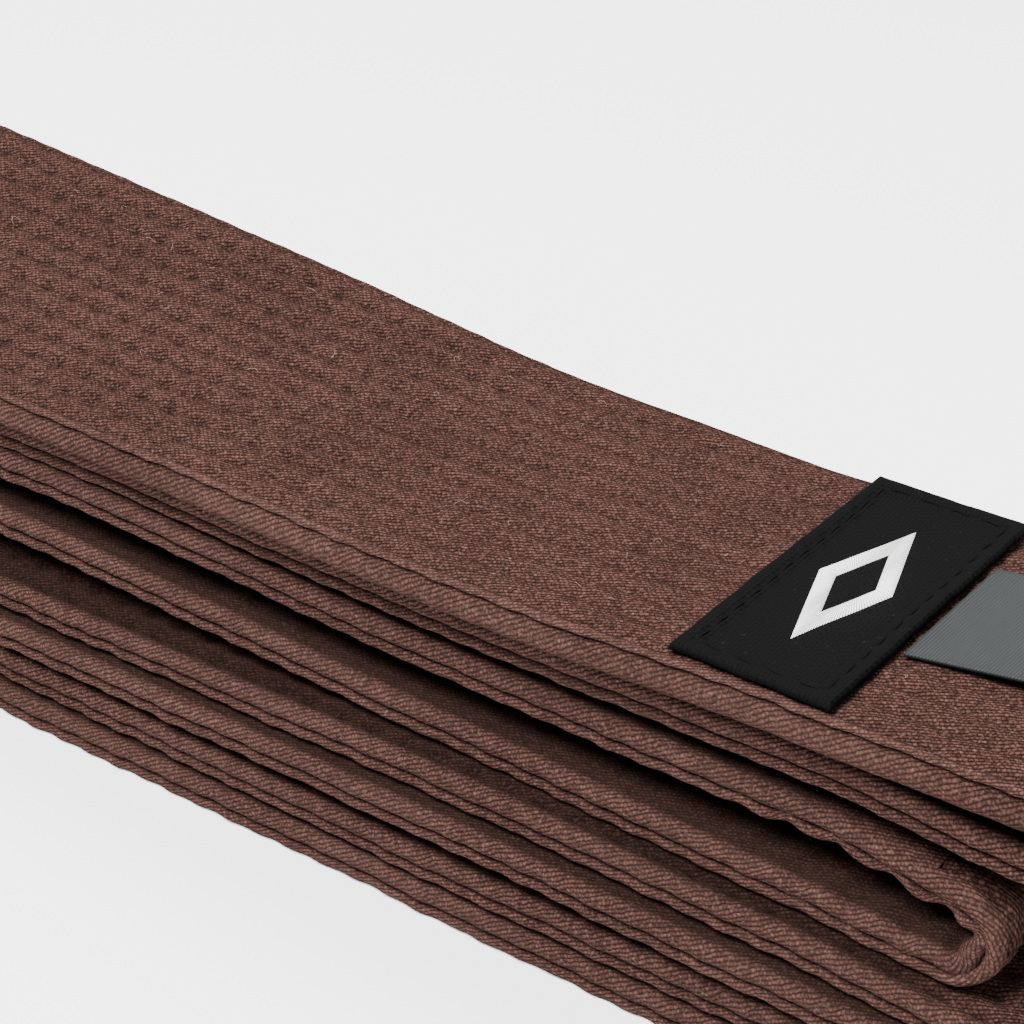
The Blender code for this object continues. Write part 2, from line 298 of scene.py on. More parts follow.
# Place of the cover's seam, from the belt's middle towards the face that starts on top
SEAM_PLACE = {1: 1.42, 8: 0.62, 5: -0.62, 4: 0.62, 3: -0.62, 6: 0.62, 7: -0.62, 2: 0.62}


def belt_course():
    """Every stretch in order from the label end to the plain end."""
    near = NEST_X + LEAD
    stretches = [Stretch("label_end", "run", (1,), LABEL_END, FLAP_X)]
    stretches.append(Stretch("run_1", "run", (1,), FLAP_X, near))
    order = (1, 8, 5, 4, 3, 6, 7, 2)
    for enter, leave in zip(order[:-1], order[1:]):
        name = "fold_%d_%d" % (min(enter, leave), max(enter, leave))
        stretches.append(Stretch(name, "fold", (enter, leave), 0.0, 0.0))
        far = LOOP_X[leave] - LEAD if leave != 2 else PLAIN_END
        ends = (near, far) if stretches[-1].centre < 0 else (far, near)
        stretches.append(Stretch("run_%d" % leave, "run", (leave,), *ends))
    along = 0.0
    for stretch in stretches:
        stretch.along = along
        along += stretch.length
    return {stretch.name: stretch for stretch in stretches}


COURSE = belt_course()
ROWS = 12
# Folds, in the order they are entered, whose outer face is the one that starts on top
OUTSIDE_A = ((1, 8), (8, 5), (4, 3), (3, 6))
# Length at each end of a run over which its painted shade blends into that of the next stretch
GAP_SHADE_RAMP = 12.0
# Reach of the two lips past the flat faces, and of the fold along the other edge
EDGE_REACH = 0.95
FAR_REACH = 1.5
SEAM_ALLOWANCE = 4.0
# Girth of the cover round its folded edge
FAR_GIRTH = 5.4
NEAR_LINE = -HALF_WIDTH + EDGE_REACH
FAR_LINE = HALF_WIDTH - FAR_REACH
TWILL_ANGLE = math.radians(29.0)
# Shift of a row's stitches against its neighbours', in stitches
ROW_SHIFT = 0.08
ROW_SHIFT_TURN = 2.3
# The needle rows are pressed flat by the label up to here, and deepen over the next stretch
FLAT_UNTIL, DEEPEN_OVER = 55.0, 90.0
# Length of a closed end over which the belt rounds off
END_ROUNDING = 1.7


def nearest_row(along, y, sizes):
    """Distance to the nearest row of stitching, and how near a needle hole is, from 0 to 1."""
    spacing = sizes.row_spacing * 1000
    row = y / spacing + ROWS / 2 - 0.5
    nearest = np.clip(np.round(row), 0, ROWS - 1)
    away = (row - nearest) * spacing
    stitch = along / (sizes.stitch_pitch * 1000) + ROW_SHIFT * np.sin(nearest * ROW_SHIFT_TURN)
    return away, 0.5 + 0.5 * np.cos(2 * math.pi * stitch)


def deepening(along):
    """How far the rows have deepened on the way out from under the label."""
    return smooth((along - FLAT_UNTIL) / DEEPEN_OVER)


def quilting(along, y, sizes, face):
    """How far the cover stands out (+) or is pulled in (-) by the rows of stitching."""
    depth = sizes.groove_depth * 1000
    away, hole = nearest_row(along, y, sizes)
    groove = np.exp(-(away / 0.80) ** 2)
    hole = hole ** 1.5
    settled = 0.45 + 0.55 * deepening(along)
    strength = settled * (0.90 + 0.30 * ripple(along / 21.0, y / 13.0, 11 + face))
    pulled = strength * depth * groove * (0.35 + 0.95 * hole)
    puff = 0.12 * (1 - groove) * (1 - 0.5 * hole)
    cloth = 0.07 * ripple(along / 3.3, y / 2.6, 23 + face)
    edge = smooth((HALF_WIDTH - 0.6 - np.abs(y)) / 1.2)
    return (puff - pulled) * (0.4 + 0.6 * edge) + cloth * edge


def shelter(stretch, distance, face):
    """How much painted shade a face gets for lying inside the folded stack: 0 outside, 1 between two
    runs.
    """
    def middle(item):
        if item.kind == "fold":
            return 0.0 if (item.runs in OUTSIDE_A) == (face == "a") else 1.0
        return 0.0 if face == "a" and item.runs[0] in (1, 8) else 1.0

    order = list(COURSE.values())
    place_in_order = order.index(stretch)
    here = middle(stretch)
    value = np.full(np.shape(distance), here)
    if stretch.kind == "run":
        if place_in_order > 0:
            before = middle(order[place_in_order - 1])
            value = value + (before - here) * smooth(1 - distance / GAP_SHADE_RAMP)
        if place_in_order < len(order) - 1:
            after = middle(order[place_in_order + 1])
            left = stretch.length - distance
            value = value + (after - here) * smooth(1 - left / GAP_SHADE_RAMP)
    return value


def end_taper(stretch, distance):
    """How thick the belt still is near a closed end, from 1 down to 0."""
    if stretch.name == "label_end":
        left = distance
    elif stretch.name == "run_2":
        left = stretch.length - distance
    else:
        return np.ones_like(distance)
    rounded = np.sqrt(np.clip(1 - (1 - np.clip(left / END_ROUNDING, 0, 1)) ** 2, 0, 1))
    pressed = 0.86 + 0.14 * smooth((left - 1.5) / 8.0)
    return rounded * pressed


def place(stretch, distance, y, out):
    """World place, in mm, of a point beside the belt's middle line."""
    x, z, normal_x, normal_z, side, _ = stretch.course(distance)
    world_x = x + normal_x * out
    world_z = z + normal_z * out
    world_y = y + side
    if stretch.kind == "run" and stretch.runs[0] == 1:
        world_z = world_z + top_hump(x, y)
    elif 1 in stretch.runs:
        share = np.clip((z - AXIS_HEIGHT) / (NEST_HEIGHT[1] - AXIS_HEIGHT), 0, 1)
        world_z = world_z + share * top_hump(x, y)
    return world_x, world_y, world_z


def cover_distances(stretch, step):
    """Where the cover's rows of points lie along a stretch, closer together at a closed end."""
    rows = int(round(stretch.length / step)) + 1
    distance = np.linspace(0.0, stretch.length, rows)
    closing = np.array([0.0, 0.04, 0.12, 0.25, 0.45, 0.75, 1.1, 1.45])
    if stretch.name == "label_end":
        distance = np.concatenate([closing, distance[distance > END_ROUNDING]])
    if stretch.name == "run_2":
        distance = np.concatenate([distance[distance < stretch.length - END_ROUNDING],
                                   stretch.length - closing[::-1]])
    return distance[:, None]


# Parts of the cover's girth, in order: lip, face that starts on top, folded edge, face, lip
LIP_A, FACE_A, FAR_FOLD, FACE_B, LIP_B = range(5)


class Girth:
    """The cover's cross-section along one stretch: a row of points round the belt."""

    def __init__(self, stretch, distance, sizes, face_a, face_b):
        self.along = distance + stretch.along
        wander = 0.10 * ripple(self.along / 5.0, 0 * self.along, 31)
        seam = np.clip(stretch.course(distance)[5] + wander, -1.3, 1.55)
        lobe_a = np.linspace(-math.pi / 2, math.pi / 2, 10)[None, :]
        lobe_b = np.linspace(-math.pi / 2, math.pi / 2, 9)[None, :]
        far = np.linspace(math.pi / 2, -math.pi / 2, 10)[None, 1:-1]
        across_a = np.linspace(NEAR_LINE, FAR_LINE, face_a)[None, 1:]
        across_b = np.linspace(FAR_LINE, NEAR_LINE, face_b)[None, :-1]
        ones = np.ones_like(distance)

        radius_a, middle_a = (HALF_THICK - seam) / 2, (HALF_THICK + seam) / 2
        radius_b, middle_b = (HALF_THICK + seam) / 2, (seam - HALF_THICK) / 2
        swell_a = EDGE_REACH * (0.62 + 0.38 * smooth(radius_a / 0.8))
        swell_b = EDGE_REACH * (0.62 + 0.38 * smooth(radius_b / 0.8))
        lip_wave = self.lip_wave(sizes)
        y_parts = [NEAR_LINE - (swell_a + lip_wave) * np.cos(lobe_a),
                   across_a * ones,
                   FAR_LINE + (FAR_REACH + 0.6 * lip_wave) * np.cos(far),
                   across_b * ones,
                   NEAR_LINE - (swell_b + lip_wave) * np.cos(lobe_b)]
        out_parts = [middle_a + (radius_a - 0.02) * np.sin(lobe_a),
                     HALF_THICK + 0 * across_a * ones,
                     HALF_THICK * np.sin(far) * ones,
                     -HALF_THICK + 0 * across_b * ones,
                     middle_b + (radius_b - 0.02) * np.sin(lobe_b)]
        top_end = SEAM_ALLOWANCE + FAR_LINE - NEAR_LINE
        bottom_end = top_end + FAR_GIRTH + FAR_LINE - NEAR_LINE
        lobe_length_a = math.pi * np.sqrt((radius_a ** 2 + swell_a ** 2) / 2)
        lobe_length_b = math.pi * np.sqrt((radius_b ** 2 + swell_b ** 2) / 2)
        cut_parts = [SEAM_ALLOWANCE - lobe_length_a * (0.5 - lobe_a / math.pi),
                     (SEAM_ALLOWANCE + across_a - NEAR_LINE) * ones,
                     (top_end + FAR_GIRTH * (0.5 - far / math.pi)) * ones,
                     (top_end + FAR_GIRTH + FAR_LINE - across_b) * ones,
                     bottom_end + lobe_length_b * (0.5 + lobe_b / math.pi)]
        counts = [part.shape[1] for part in y_parts]
        self.y = np.concatenate(y_parts, 1)
        self.out = np.concatenate(out_parts, 1)
        self.cut = np.concatenate(cut_parts, 1)
        self.zone = np.repeat(np.arange(5), counts)[None, :] * np.ones_like(self.y)
        self.lip_turn = np.concatenate([lobe_a[0], np.zeros(sum(counts[1:4])), lobe_b[0]])[None, :]
        self.far_turn = np.concatenate([np.zeros(sum(counts[:2])), far[0],
                                        np.zeros(sum(counts[3:]))])

    def lip_wave(self, sizes):
        """How the seam's lips swell and narrow along the belt."""
        pitch = sizes.stitch_pitch * 1000
        wave = 0.16 * ripple(self.along / 2.1, 0 * self.along, 41)
        wave = wave + 0.10 * np.cos(2 * math.pi * self.along / pitch)
        return wave + 0.06 * ripple(self.along / 0.62, 0 * self.along, 43)

    def on_lips(self):
        return (self.zone == LIP_A) | (self.zone == LIP_B)

    def quilt(self, stretch, distance, sizes):
        """Pull the cover in along its stitch rows and let it pucker and wave."""
        along, zone = self.along, self.zone
        puff_a = quilting(along, self.y, sizes, 0)
        puff_b = quilting(along, self.y, sizes, 1)
        out = self.out + np.where(zone == FACE_A, puff_a, 0) - np.where(zone == FACE_B, puff_b, 0)
        if stretch.kind == "fold":
            tight = smooth((6.0 - stretch.radius) / 3.0)
            bend = smooth((distance - LEAD) / 2.0)
            bend = bend * smooth((stretch.length - LEAD - distance) / 2.0)
            pucker = 0.30 * tight * bend * ripple(self.y / 0.55, along / 1.4, 57)
            if stretch.runs in OUTSIDE_A:
                out = out + np.where(zone == FACE_B, -np.abs(pucker), 0)
            else:
                out = out + np.where(zone == FACE_A, np.abs(pucker), 0)
        lip_bob = 0.13 * ripple(along / 1.7, 0 * along, 47)
        self.out = out + lip_bob * np.where(self.on_lips(), np.cos(self.lip_turn), 0)

    def scallop(self, x_here):
        """Bow the seam edge of the middle loop in small waves."""
        near_loop = smooth((x_here - 112.0) / 24.0)
        bump = (0.5 + 0.5 * np.cos(2 * math.pi * self.along / 5.2)) ** 1.4
        near_edge = np.where(self.zone == FACE_B, smooth((-9.0 - self.y) / 10.0), 0)
        rim = np.where(self.zone == LIP_B, 1.0, near_edge)
        self.out = self.out + 0.60 * near_loop * bump * rim
        self.y = self.y + 0.3 * near_loop * bump * np.where(self.zone == LIP_B, 1.0, 0)

    def wear(self):
        """Where the cloth is rubbed pale: most on the lips, less on the folded edge."""
        lobe = np.where(self.on_lips(), 1.0, np.where(self.zone == FAR_FOLD, 0.7, 0.0))
        return lobe * (0.6 + 0.4 * ripple(self.along / 9.0, self.y / 5.0, 61))

    def stitch_groove_shade(self, sizes):
        """Painted shade in the grooves of the stitch rows, darkest at the needle holes."""
        away, hole = nearest_row(self.along, self.y, sizes)
        settled = 0.40 + 0.60 * deepening(self.along)
        shade_here = settled * np.exp(-(away / 0.75) ** 2) * (0.22 + 0.78 * hole ** 2)
        return shade_here * np.where((self.zone == FACE_A) | (self.zone == FACE_B), 1, 0)

    def painted_shade_share(self, stretch, distance):
        """Share of painted shade at each point, for lying deep inside the stack or in the crease of
        the seam.
        """
        inner_a = shelter(stretch, distance, "a")
        inner_b = shelter(stretch, distance, "b")
        # Painted shade in the crease where the two lips meet, strongest at the seam
        crease = np.abs(self.lip_turn / (math.pi / 2)) ** 3
        near_a = np.where(self.lip_turn > 0, inner_a, 0.85) * crease
        near_b = np.where(self.lip_turn < 0, inner_b, 0.85) * crease
        edge = smooth(2 * np.abs(self.far_turn) / math.pi)[None, :]
        far_edge = edge * np.where(self.far_turn > 0, inner_a, inner_b)
        deep = np.where(self.zone == LIP_A, near_a, 0) + np.where(self.zone == LIP_B, near_b, 0)
        deep = deep + np.where(self.zone == FACE_A, inner_a, 0)
        deep = deep + np.where(self.zone == FACE_B, inner_b, 0)
        return deep + np.where(self.zone == FAR_FOLD, far_edge, 0)


def cover_grid(stretch, sizes, step, face_a, face_b):
    """The cover of one stretch: places, belt coordinates, its wear and two kinds of painted shade.
    """
    distance = cover_distances(stretch, step)
    ring = Girth(stretch, distance, sizes, face_a, face_b)
    ring.quilt(stretch, distance, sizes)
    if set(stretch.runs) <= {3, 4}:
        ring.scallop(stretch.course(distance)[0])
    taper = end_taper(stretch, distance)
    ring.out = ring.out * taper
    ring.y = ring.y * (1 - 0.010 * (1 - taper))
    world = place(stretch, distance, ring.y, ring.out)
    along = np.broadcast_to(ring.along, ring.y.shape)
    shading = {"wear": ring.wear(), "stitch": ring.stitch_groove_shade(sizes),
               "shelter": ring.painted_shade_share(stretch, distance)}
    return world, along, ring.cut, shading


# ---------------------------------------------------------------- mesh helpers

def clear_selection():
    """Nothing selected, so that an operator acts only on what it is meant to."""
    if bpy.context.mode != "OBJECT":
        bpy.ops.object.mode_set(mode="OBJECT")
    bpy.ops.object.select_all(action="DESELECT")


def flat_cut(name, columns, rows):
    """A flat rectangle of cloth with this many points each way."""
    clear_selection()
    bpy.ops.mesh.primitive_grid_add(x_subdivisions=columns - 1, y_subdivisions=rows - 1, size=1.0)
    piece = bpy.context.object
    piece.name = name
    piece.data.name = name
    return piece


def write_uv(layer, mesh, values):
    """Fill a UV layer from one pair of values, in mm, for each point."""
    index = np.empty(len(mesh.loops), int)
    mesh.loops.foreach_get("vertex_index", index)
    layer.data.foreach_set("uv", (np.asarray(values, float) / 1000.0)[index].ravel())


def shape_cloth(piece, world, u, v, layer="belt_uv"):
    """Lay a flat cut in its folded shape. All arrays are (rows, columns), in mm."""
    mesh = piece.data
    points = np.stack([part.astype(float) for part in world], -1).reshape(-1, 3) / 1000.0
    mesh.vertices.foreach_set("co", points.ravel())
    mesh.uv_layers[0].name = layer
    write_uv(mesh.uv_layers[0], mesh, np.stack([np.ravel(u), np.ravel(v)], -1))
    mesh.polygons.foreach_set("use_smooth", np.ones(len(mesh.polygons), bool))
    mesh.update()


def shade(piece, name, values):
    """Store a shading value for each point."""
    layer = piece.data.attributes.new(name, "FLOAT", "POINT")
    layer.data.foreach_set("value", np.asarray(values, np.float32).ravel())


def thicken(piece, thickness):
    """Give a flat cut of cloth its thickness, below its face."""
    pick(piece)
    solid = piece.modifiers.new("cloth_thickness", "SOLIDIFY")
    solid.thickness = thickness
    solid.offset = -1.0
    bpy.ops.object.modifier_apply(modifier=solid.name)


def give(piece, material):
    """Put one material on a piece."""
    piece.data.materials.clear()
    piece.data.materials.append(material)


def mesh_from(name, points, faces):
    """A piece from points in mm and faces."""
    mesh = bpy.data.meshes.new(name)
    mesh.from_pydata([tuple(point) for point in np.asarray(points) / 1000.0], [], faces)
    mesh.polygons.foreach_set("use_smooth", np.ones(len(mesh.polygons), bool))
    mesh.update()
    piece = bpy.data.objects.new(name, mesh)
    bpy.context.scene.collection.objects.link(piece)
    return piece


def pick(piece):
    """Select one piece and make it the active one."""
    clear_selection()
    piece.select_set(True)
    bpy.context.view_layer.objects.active = piece


def face_outwards(piece):
    """Point every face of closed shapes outwards."""
    pick(piece)
    bpy.ops.object.mode_set(mode="EDIT")
    bpy.ops.mesh.select_all(action="SELECT")
    bpy.ops.mesh.normals_make_consistent(inside=False)
    bpy.ops.object.mode_set(mode="OBJECT")


def tube_faces(rings, sides):
    """Faces of a closed tube whose points are given ring by ring."""
    faces = []
    for ring in range(rings - 1):
        for side in range(sides):
            after = (side + 1) % sides
            faces.append((ring * sides + side, ring * sides + after,
                          (ring + 1) * sides + after, (ring + 1) * sides + side))
    faces.append(tuple(reversed(range(sides))))
    faces.append(tuple((rings - 1) * sides + side for side in range(sides)))
    return faces


def one_stitch(length_mm, width_mm):
    """A single stitch along X: a slim rounded bar whose ends dip."""
    clear_selection()
    bpy.ops.mesh.primitive_uv_sphere_add(segments=6, ring_count=7, radius=1.0)
    ball = bpy.context.object
    points = np.empty(len(ball.data.vertices) * 3)
    ball.data.vertices.foreach_get("co", points)
    points = points.reshape(-1, 3)[:, [2, 0, 1]]
    reach = np.sqrt(np.clip(1 - points[:, 0] ** 4, 0, 1))
    circle = np.sqrt(np.clip(1 - points[:, 0] ** 2, 1e-6, 1))
    points[:, 1:] = points[:, 1:] / circle[:, None] * reach[:, None]
    points *= (length_mm / 2, width_mm / 2, width_mm / 2)
    faces = [tuple(polygon.vertices) for polygon in ball.data.polygons]
    bpy.data.objects.remove(ball, do_unlink=True)
    return points, faces


def repeat(points_list, faces):
    """Join copies of one shape that differ only in their points."""
    count = len(points_list[0])
    all_faces = []
    for number in range(len(points_list)):
        shift = number * count
        all_faces.extend(tuple(corner + shift for corner in face) for face in faces)
    return np.concatenate(points_list), all_faces


# ---------------------------------------------------------------- materials

class Graph:
    """Adds nodes to one material and joins them."""

    def __init__(self, name):
        self.material = bpy.data.materials.new(name)
        self.material.use_nodes = True
        self.tree = self.material.node_tree
        self.shader = self.tree.nodes["Principled BSDF"]

    def add(self, kind, inputs=None, **settings):
        node = self.tree.nodes.new(kind)
        for key, value in settings.items():
            setattr(node, key, value)
        for key, value in (inputs or {}).items():
            self.put(node.inputs[key], value)
        return node

    def put(self, socket, value):
        if isinstance(value, bpy.types.NodeSocket):
            self.tree.links.new(value, socket)
        else:
            socket.default_value = value

    def math(self, operation, first, second=0.0, clamp=False):
        node = self.add("ShaderNodeMath", {0: first, 1: second}, operation=operation)
        node.use_clamp = clamp
        return node.outputs[0]

    def mix(self, share, first, second, blend="MIX"):
        node = self.add("ShaderNodeMix", data_type="RGBA", blend_type=blend)
        self.put(node.inputs["Factor"], share)
        self.put(node.inputs["A"], first if not isinstance(first, tuple) else (*first, 1.0))
        self.put(node.inputs["B"], second if not isinstance(second, tuple) else (*second, 1.0))
        return node.outputs["Result"]

    def noise(self, vector, scale, detail=2.0, roughness=0.5):
        node = self.add("ShaderNodeTexNoise", {"Vector": vector, "Scale": scale,
                                               "Detail": detail, "Roughness": roughness})
        return node.outputs["Fac"]

    def uv(self, layer="belt_uv"):
        return self.add("ShaderNodeUVMap", uv_map=layer).outputs["UV"]

    def object_place(self):
        return self.add("ShaderNodeTexCoord").outputs["Object"]

    def attribute(self, name):
        return self.add("ShaderNodeAttribute", attribute_name=name).outputs["Fac"]

    def split(self, vector):
        node = self.add("ShaderNodeSeparateXYZ", {"Vector": vector})
        return node.outputs["X"], node.outputs["Y"]

    def bump(self, height, strength, distance, below=None):
        inputs = {"Height": height, "Strength": strength, "Distance": distance}
        if below is not None:
            inputs["Normal"] = below
        return self.add("ShaderNodeBump", inputs).outputs["Normal"]

    def finish(self, colour_socket, roughness, normal, **settings):
        self.put(self.shader.inputs["Base Color"], colour_socket)
        self.put(self.shader.inputs["Roughness"], roughness)
        self.put(self.shader.inputs["Normal"], normal)
        for key, value in settings.items():
            self.shader.inputs[key.replace("_", " ")].default_value = value
        return self.material

    def ribs(self, turn, sharpness=2.0):
        """Rounded ribs from a running count: 1 on each rib, 0 between."""
        part = self.math("FRACT", turn)
        away = self.math("ABSOLUTE", self.math("SUBTRACT", self.math("MULTIPLY", part, 2.0), 1.0))
        return self.math("SUBTRACT", 1.0, self.math("POWER", away, sharpness))


FUZZ_TINT = (0.60, 0.34, 0.27, 1.0)


def twill_material(sizes, colours):
    """Coarse cotton twill: slanting ribs of short yarns, fuzzy and a little faded, with painted
    shade in the stitch grooves and between the runs of the stack.
    """
    graph = Graph("brown_cotton_twill")
    uv = graph.uv()
    along, girth = graph.split(uv)
    warp = graph.math("MULTIPLY", graph.math("SUBTRACT", graph.noise(uv, 900.0, 4.0), 0.5), 1.15)
    slow = graph.math("MULTIPLY", graph.math("SUBTRACT", graph.noise(uv, 60.0, 1.0), 0.5), 1.0)
    across = graph.math("ADD",
                        graph.math("MULTIPLY", along, math.sin(TWILL_ANGLE) / sizes.rib_pitch),
                        graph.math("MULTIPLY", girth, math.cos(TWILL_ANGLE) / sizes.rib_pitch))
    across = graph.math("ADD", across, graph.math("ADD", warp, slow))
    number = graph.math("FLOOR", across)
    lengthwise = graph.math("ADD",
                            graph.math("MULTIPLY", along, -math.cos(TWILL_ANGLE) / sizes.yarn_float),
                            graph.math("MULTIPLY", girth, math.sin(TWILL_ANGLE) / sizes.yarn_float))
    lengthwise = graph.math("ADD", lengthwise, graph.math("MULTIPLY", number, 0.37))
    lengthwise = graph.math("ADD", lengthwise, warp)
    rib = graph.ribs(across, 2.0)
    yarn = graph.ribs(lengthwise, 2.6)
    height = graph.math("MULTIPLY", rib, graph.math("ADD", 0.55, graph.math("MULTIPLY", yarn, 0.45)))
    fuzz = graph.noise(uv, 4200.0, 4.0, 0.75)
    height = graph.math("ADD", height, graph.math("MULTIPLY", fuzz, 0.85))

    cell = graph.add("ShaderNodeCombineXYZ", {"X": number, "Y": graph.math("FLOOR", lengthwise)})
    lot = graph.add("ShaderNodeTexWhiteNoise", {"Vector": cell.outputs[0]},
                    noise_dimensions="2D").outputs["Value"]
    lift = graph.math("POWER", graph.math("MULTIPLY", rib, graph.math("ADD", 0.40,
                      graph.math("MULTIPLY", yarn, 0.60))), 1.7, True)
    base = graph.mix(lift, tuple(colours.twill_dark), tuple(colours.twill_light))
    tint = graph.add("ShaderNodeValToRGB", {"Fac": lot})
    tint.color_ramp.elements[0].color = (0.55, 0.54, 0.54, 1.0)
    tint.color_ramp.elements[1].color = (1.42, 1.38, 1.36, 1.0)
    base = graph.mix(1.0, base, tint.outputs["Color"], "MULTIPLY")
    cloud = graph.add("ShaderNodeValToRGB", {"Fac": graph.noise(uv, 75.0, 3.0)})
    cloud.color_ramp.elements[0].position = 0.30
    cloud.color_ramp.elements[1].position = 0.72
    cloud.color_ramp.elements[0].color = (0.84, 0.82, 0.82, 1.0)
    cloud.color_ramp.elements[1].color = (1.12, 1.12, 1.14, 1.0)
    base = graph.mix(1.0, base, cloud.outputs["Color"], "MULTIPLY")
    bright = graph.math("MULTIPLY", graph.attribute("wear"), 0.24, True)
    base = graph.mix(bright, base, (0.088, 0.048, 0.040))
    # Painted shade in the stitch rows' grooves and needle holes
    sunk = graph.math("MULTIPLY", graph.attribute("stitch"), 0.78, True)
    base = graph.mix(sunk, base, (0.0045, 0.0021, 0.0018))
    hair = graph.math("SUBTRACT", graph.noise(uv, 2400.0, 4.0, 0.8), 0.52)
    hair = graph.math("MULTIPLY", hair, 2.6, True)
    base = graph.mix(hair, base, (0.165, 0.108, 0.093))
    # Painted shade: faces lying between two runs of the stack, and the seam's crease, are darkened
    # as if in shadow
    gap_shade_share = graph.math("MULTIPLY", graph.attribute("shelter"), 0.70, True)
    base = graph.mix(gap_shade_share, base, (0.0036, 0.0020, 0.0017))
    normal = graph.bump(height, 0.90, 0.00020)
    return graph.finish(base, 0.92, normal, Sheen_Weight=0.02, Sheen_Tint=FUZZ_TINT,
                        Sheen_Roughness=0.55, Specular_IOR_Level=0.015)


def weave_material(name, cloth_colour, pitch, roughness, fleck=None, layer="piece_uv",
                   sheen=0.1, low_share=0.45, shine=0.25, depth=0.45):
    """Plain weave: crossing yarns one over, one under."""
    graph = Graph(name)
    uv = graph.uv(layer)
    first, second = graph.split(uv)
    u = graph.math("DIVIDE", first, pitch)
    v = graph.math("DIVIDE", second, pitch)
    odd = graph.math("MODULO", graph.math("ABSOLUTE",
                     graph.math("ADD", graph.math("FLOOR", u), graph.math("FLOOR", v))), 2.0)
    over = graph.math("MULTIPLY", graph.ribs(u), graph.math("SUBTRACT", 1.0, odd))
    under = graph.math("MULTIPLY", graph.ribs(v), odd)
    height = graph.math("ADD", over, under)
    grain = graph.noise(uv, 0.9 / pitch, 3.0)
    low = tuple(channel * low_share for channel in cloth_colour)
    base = graph.mix(height, low, tuple(cloth_colour))
    shade_band = graph.add("ShaderNodeValToRGB", {"Fac": grain})
    shade_band.color_ramp.elements[0].color = (0.75, 0.75, 0.75, 1.0)
    shade_band.color_ramp.elements[1].color = (1.25, 1.25, 1.25, 1.0)
    base = graph.mix(1.0, base, shade_band.outputs["Color"], "MULTIPLY")
    if fleck:
        spot = graph.math("GREATER_THAN", graph.noise(uv, 0.55 / pitch, 2.0, 0.6), 0.70)
        base = graph.mix(graph.math("MULTIPLY", spot, 0.35), base, fleck)
    normal = graph.bump(graph.math("ADD", height, graph.math("MULTIPLY", grain, 0.4)),
                        0.8, pitch * depth)
    return graph.finish(base, roughness, normal, Sheen_Weight=sheen, Specular_IOR_Level=shine)


def thread_material(name, thread_colour, twist, roughness):
    """Twisted sewing thread, slanting strands."""
    graph = Graph(name)
    spot = graph.object_place()
    split = graph.add("ShaderNodeSeparateXYZ", {"Vector": spot})
    slanted = graph.math("ADD", split.outputs["X"], graph.math("MULTIPLY", split.outputs["Y"], 1.6))
    strand = graph.ribs(graph.math("DIVIDE", slanted, twist), 2.0)
    uneven = graph.noise(spot, 900.0, 2.0)
    low = tuple(channel * 0.5 for channel in thread_colour)
    base = graph.mix(strand, low, tuple(thread_colour))
    pale = tuple(min(1.0, channel * 1.3) for channel in thread_colour)
    base = graph.mix(graph.math("MULTIPLY", uneven, 0.4), base, pale)
    normal = graph.bump(strand, 0.6, twist * 0.25)
    return graph.finish(base, roughness, normal, Specular_IOR_Level=0.02)


def satin_stitch_material(colours):
    """White satin stitch: close threads laid across the stroke."""
    graph = Graph("white_satin_stitch")
    uv = graph.uv("piece_uv")
    along, across = graph.split(uv)
    thread = graph.ribs(graph.math("ADD", graph.math("DIVIDE", along, 0.00034),
                                   graph.math("MULTIPLY", graph.noise(uv, 900.0, 2.0), 0.5)), 2.0)
    base = graph.mix(thread, (0.42, 0.42, 0.41), tuple(colours.emblem_thread))
    grey = graph.noise(uv, 700.0, 2.0)
    base = graph.mix(graph.math("MULTIPLY", grey, 0.25), base, (0.60, 0.60, 0.58))
    return graph.finish(base, 0.5, graph.bump(thread, 0.9, 0.00012), Sheen_Weight=0.15,
                        Specular_IOR_Level=0.45)


def satin_ribbon_material(colours):
    """Grey satin ribbon: fine ribs across, a soft shine, firmer woven edges."""
    graph = Graph("grey_satin_ribbon")
    uv = graph.uv("piece_uv")
    along, across = graph.split(uv)
    fine = graph.ribs(graph.math("DIVIDE", along, 0.00030), 2.0)
    cross = graph.ribs(graph.math("DIVIDE", across, 0.00022), 2.0)
    height = graph.math("ADD", fine, graph.math("MULTIPLY", cross, 0.5))
    dark = tuple(channel * 0.62 for channel in colours.tag_ribbon)
    base = graph.mix(height, dark, tuple(colours.tag_ribbon))
    cloud = graph.noise(uv, 190.0, 3.0)
    base = graph.mix(graph.math("MULTIPLY", cloud, 0.35), base, (0.022, 0.025, 0.025))
    edge = graph.attribute("selvedge")
    base = graph.mix(graph.math("MULTIPLY", edge, 0.45), base, (0.008, 0.009, 0.009))
    return graph.finish(base, 0.42, graph.bump(height, 0.7, 0.00006), Sheen_Weight=0.02,
                        Specular_IOR_Level=0.18)


def floor_material():
    """Plain pale studio floor."""
    graph = Graph("pale_floor")
    spot = graph.object_place()
    tone = graph.noise(spot, 3.0, 1.0)
    base = graph.mix(graph.math("MULTIPLY", tone, 0.2), (0.93, 0.93, 0.93), (0.90, 0.90, 0.90))
    return graph.finish(base, 0.9, graph.bump(tone, 0.01, 0.0005), Specular_IOR_Level=0.1)


MATERIALS = {}


